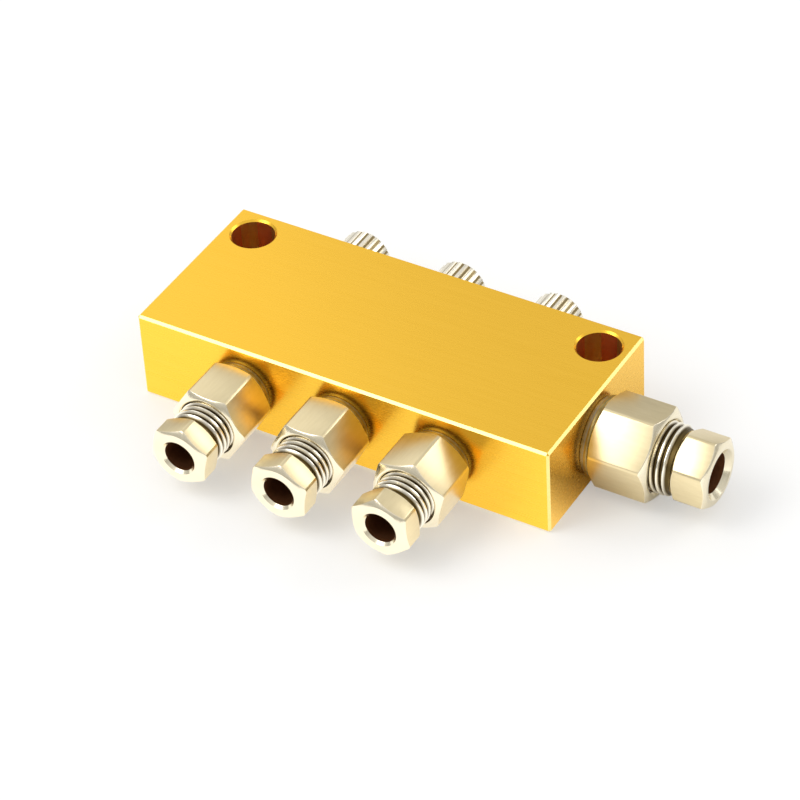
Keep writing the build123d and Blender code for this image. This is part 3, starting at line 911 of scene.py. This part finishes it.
def is_shank_of(fitting, node, matrix):
    """Test for the threaded shank of a bushing, below its head."""
    head = heights(node, matrix)[1] - fitting.bushing_hex_length
    root_r = fitting.bushing_thread_d / 2 - THREAD_PLAY - THREAD_DEPTH
    return lambda face: face.center.z < head - PAST and face.center.xy.length > root_r - THREAD_PLAY


def is_collar(washer_node, matrix):
    """Test for a connector's turned seat, from its washer up to its hexagon."""
    low = heights(washer_node, matrix)[1]
    return lambda face: low - PAST < face.center.z < low + SEAT_COLLAR_T


def is_knurl(washer_node, matrix):
    """Test for the sides of a cap's head."""
    low = heights(washer_node, matrix)[1]
    root_r = CAP_HEAD_D / 2 - KNURL_DEPTH
    return lambda face: (
        face.center.z > low and abs(face.normal.z) < SIDE_SLOPE
        and face.center.xy.length > root_r - SKIN
    )


# The pieces, each modelled once, copied for the other outlets and set in

def in_mounting_hole(face):
    """Wall of one of the two mounting holes."""
    hole_x = block_high.x - MOUNT_HOLE_INSET
    hole_y = block_high.y - MOUNT_HOLE_INSET
    across = Vector((abs(face.center.x) - hole_x, face.center.y - hole_y))
    return across.length < MOUNT_HOLE_D / 2 + PAST and abs(face.normal.z) < SIDE_SLOPE


def on_broken_edge(face):
    """Chamfer along one of the block's outer edges."""
    middle = sorted(abs(n) for n in face.normal)[1]
    return EDGE_SLANT[0] < middle < EDGE_SLANT[1] and face.area > LEAST_EDGE_AREA


# Pale painted highlight on the broken edges, and a painted red-brown reflection in the mounting holes
block = finish_with(
    divider_block(), ANODISED_GOLD, (HOLE_PAINTED_REFLECTION, in_mounting_hole), (EDGE_PAINTED_HIGHLIGHT, on_broken_edge)
)
set_in(block, Matrix.Identity(4), "divider_block")

numbers = sorted(OUTLET_HEX_TURNS)
first = numbers[0]
outlet = outlet_port(first)
cell = cell_port(first)
outlet_pattern = connector(
    "outlet_pattern", OUTLET, f"outlet_connector_{first}", f"outlet_washer_{first}", outlet, outlet_bore
)
finish_with(
    outlet_pattern, TURNED_NICKEL, (DRAWN_NICKEL, is_flat_of(OUTLET.hex_af)),
    (COLLAR_PAINTED_SHADE, is_collar(f"outlet_washer_{first}", outlet)),
    (BORE_PAINTED_SHADE, is_inside(OUTLET.bushing_thread_d / 2 + PAST)),
)
bushing_pattern = bushing("bushing_pattern", OUTLET, f"outlet_bushing_{first}", outlet)
finish_with(
    bushing_pattern, TURNED_NICKEL, (DRAWN_NICKEL, is_flat_of(OUTLET.bushing_af)),
    (OUTLET_THREAD_PAINTED_LIGHT, is_shank_of(OUTLET, f"outlet_bushing_{first}", outlet)),
    (BORE_PAINTED_SHADE, is_inside(tube_bore_r(OUTLET) + PAST)),
)
cap_pattern = metering_cap("cap_pattern", f"metering_cap_{first}", f"cap_washer_{first}", cell)
finish_with(cap_pattern, TURNED_NICKEL, (KNURL_PAINTED_LIGHT, is_knurl(f"cap_washer_{first}", cell)))
outlet_washer_pattern = sealing_washer(
    "outlet_washer_pattern", OUTLET.thread_d, f"outlet_washer_{first}", outlet
)
cap_washer_pattern = sealing_washer("cap_washer_pattern", CAP_THREAD_D, f"cap_washer_{first}", cell)
for pattern in (outlet_washer_pattern, cap_washer_pattern):
    finish_with(pattern, WASHER_PAINTED_SHADE)

# Each pattern with its copies' name, node, port, slot and turns
COPIES = (
    (outlet_pattern, "nickel_outlet_connector", "outlet_connector", outlet_port, "fitting_nickel",
     OUTLET_HEX_TURNS),
    (bushing_pattern, "nickel_outlet_bushing", "outlet_bushing", outlet_port, "fitting_nickel",
     OUTLET_BUSHING_TURNS),
    (outlet_washer_pattern, "pressed_outlet_washer", "outlet_washer", outlet_port, "seal_washer", {}),
    (cap_pattern, "knurled_cap", "metering_cap", cell_port, "cap_nickel", {}),
    (cap_washer_pattern, "pressed_cap_washer", "cap_washer", cell_port, "seal_washer", {}),
)
for number in numbers:
    for pattern, name, node, port_of, slot, turns in COPIES:
        piece = copy_of(pattern, f"{name}_{number}")
        set_in(piece, port_of(number), f"{node}_{number}", turns.get(number, 0.0))
for pattern, *_ in COPIES:
    bpy.data.objects.remove(pattern)

inlet_body = connector(
    "nickel_inlet_connector", INLET, "inlet_connector", "inlet_washer", INLET_PORT, inlet_bore
)
finish_with(
    inlet_body, TURNED_NICKEL, (DRAWN_NICKEL, is_flat_of(INLET.hex_af)),
    (COLLAR_PAINTED_SHADE, is_collar("inlet_washer", INLET_PORT)),
    (BORE_PAINTED_SHADE, is_inside(INLET.bushing_thread_d / 2 + PAST)),
)
set_in(inlet_body, INLET_PORT, "inlet_connector", INLET_HEX_TURN)
inlet_screw = bushing("nickel_inlet_bushing", INLET, "inlet_bushing", INLET_PORT)
finish_with(
    inlet_screw, TURNED_NICKEL, (DRAWN_NICKEL, is_flat_of(INLET.bushing_af)),
    (INLET_THREAD_PAINTED_LIGHT, is_shank_of(INLET, "inlet_bushing", INLET_PORT)),
    (BORE_PAINTED_SHADE, is_inside(tube_bore_r(INLET) + PAST)),
)
set_in(inlet_screw, INLET_PORT, "inlet_bushing", INLET_BUSHING_TURN)
inlet_seal = sealing_washer("pressed_inlet_washer", INLET.thread_d, "inlet_washer", INLET_PORT)
set_in(finish_with(inlet_seal, WASHER_PAINTED_SHADE), INLET_PORT, "inlet_washer")
plug = end_plug("nickel_socket_plug", "end_plug", PLUG_PORT)
set_in(finish_with(plug, TURNED_NICKEL), PLUG_PORT, "end_plug")

for name, node in frame["nodes"].items():
    kind = name if name in NODE_FINISH else name.rpartition("_")[0]
    if kind in NODE_FINISH:
        for place in node.material_slots:
            place.material = NODE_FINISH[kind]


# Camera

start_clean()
bpy.ops.object.camera_add(location=VIEW_FROM)
camera = bpy.context.object
camera.name = "camera"
camera.rotation_euler = (
    (VIEW_FROM - VIEW_AT).to_track_quat("Z", "Y") @ Matrix.Rotation(VIEW_ROLL, 4, "Z").to_quaternion()
).to_euler()
camera.data.lens = VIEW_LENS
camera.data.clip_start = VIEW_CLIP
bpy.context.scene.camera = camera
bpy.context.scene.view_settings.view_transform = "Standard"


# Light: a soft studio, with boxes where the bright flats and edges of the metal look

def soft_box(name, azimuth, elevation, size, brightness):
    """Flat lamp that faces the object, with the brightness that its surface shows.

    The azimuth runs from +X towards +Y, in degrees.
    """
    a, e = radians(azimuth), radians(elevation)
    place = VIEW_AT + LAMP_DISTANCE * Vector((cos(a) * cos(e), sin(a) * cos(e), sin(e)))
    start_clean()
    bpy.ops.object.light_add(type="AREA", location=place)
    lamp = bpy.context.object
    lamp.name = name
    lamp.data.shape = "RECTANGLE"
    lamp.data.size, lamp.data.size_y = size
    lamp.data.energy = brightness * pi * size[0] * size[1]
    lamp.rotation_euler = (place - VIEW_AT).to_track_quat("Z", "Y").to_euler()


soft_box("key_box", 218.0, 56.0, (0.35, 0.35), 3.2)
soft_box("right_box", 50.0, 33.0, (0.35, 0.30), 2.1)
soft_box("front_box", 237.0, 39.0, (0.45, 0.30), 1.9)
soft_box("rear_box", 150.0, 38.0, (0.50, 0.40), 0.42)


def studio_world():
    """Even pale surroundings, a little dimmer near the horizon, and white to the camera."""
    world = bpy.data.worlds.new("studio")
    world.use_nodes = True
    tree = world.node_tree
    tree.nodes.clear()
    way = add(tree, "ShaderNodeTexCoord")
    parts = add(tree, "ShaderNodeSeparateXYZ", links={"Vector": way.outputs["Generated"]})
    height = add(tree, "ShaderNodeValToRGB", links={"Fac": parts.outputs["Z"]})
    stops = height.color_ramp.elements
    for spare in list(stops)[1:]:
        stops.remove(spare)
    stops[0].position, stops[0].color = 0.0, HORIZON
    for position, level in SKY_LEVELS:
        stops.new(position).color = (level, level, level, 1.0)
    lit = add(tree, "ShaderNodeBackground", links={"Color": height.outputs["Color"]})
    white = add(tree, "ShaderNodeBackground", {"Color": WHITE})
    ray = add(tree, "ShaderNodeLightPath")
    seen = add(
        tree, "ShaderNodeMath",
        links={0: ray.outputs["Is Camera Ray"], 1: ray.outputs["Is Transmission Ray"]},
        operation="MAXIMUM",
    )
    shown = add(
        tree, "ShaderNodeMixShader",
        links={0: seen.outputs[0], 1: lit.outputs["Background"], 2: white.outputs["Background"]},
    )
    add(tree, "ShaderNodeOutputWorld", links={"Surface": shown.outputs["Shader"]})
    bpy.context.scene.world = world


studio_world()


def table_finish():
    """White matt studio table that glows a little to the eye, so that only the shadow is grey.

    In front of the block it glows brighter to glossy rays alone: painted light, which the front faces show
    as a reflection.
    """
    material, tree, output = blank("white_studio_table")
    place = add(tree, "ShaderNodeTexCoord")
    grain = add(
        tree, "ShaderNodeTexNoise", {"Scale": 1 / (TABLE_GRAIN * MM), "Detail": 2.0},
        {"Vector": place.outputs["Object"]},
    )
    colour = ramp(tree, grain.outputs["Fac"], 0.2, 0.8, "#F7F7F6", "#F9F9F8")
    matt = add(tree, "ShaderNodeBsdfDiffuse", links={"Color": colour})
    ray = add(tree, "ShaderNodeLightPath")
    light = add(
        tree, "ShaderNodeMapRange", {"To Min": 1.0, "To Max": PAINTED_PATCH_LIGHT},
        {"Value": ray.outputs["Is Glossy Ray"]},
    )
    glow = add(tree, "ShaderNodeEmission", {"Color": WHITE}, {"Strength": light.outputs["Result"]})
    seen = add(
        tree, "ShaderNodeMath",
        links={0: ray.outputs["Is Camera Ray"], 1: ray.outputs["Is Transmission Ray"]},
        operation="MAXIMUM",
    )
    even = add(tree, "ShaderNodeMath", {1: TABLE_GLOW}, {0: seen.outputs[0]}, operation="MULTIPLY")
    parts = add(tree, "ShaderNodeSeparateXYZ", links={"Vector": place.outputs["Object"]})
    painted_patch = add(
        tree, "ShaderNodeMapRange",
        {"From Min": block_low.y * MM, "From Max": block_low.y * MM / 3,
         "To Min": PAINTED_PATCH_GLOW, "To Max": 0.0},
        {"Value": parts.outputs["Y"]}, interpolation_type="SMOOTHSTEP",
    )
    part = add(
        tree, "ShaderNodeMath",
        links={0: ray.outputs["Is Glossy Ray"], 1: painted_patch.outputs["Result"], 2: even.outputs[0]},
        operation="MULTIPLY_ADD",
    )
    mixed = add(
        tree, "ShaderNodeMixShader",
        links={0: part.outputs[0], 1: matt.outputs["BSDF"], 2: glow.outputs["Emission"]},
    )
    tree.links.new(mixed.outputs["Shader"], output.inputs["Surface"])
    return material


start_clean()
bpy.ops.mesh.primitive_plane_add(size=TABLE_SIZE, location=(0, 0, cad_low.z))
table = bpy.context.object
table.name = "table"
finish_with(table, table_finish())
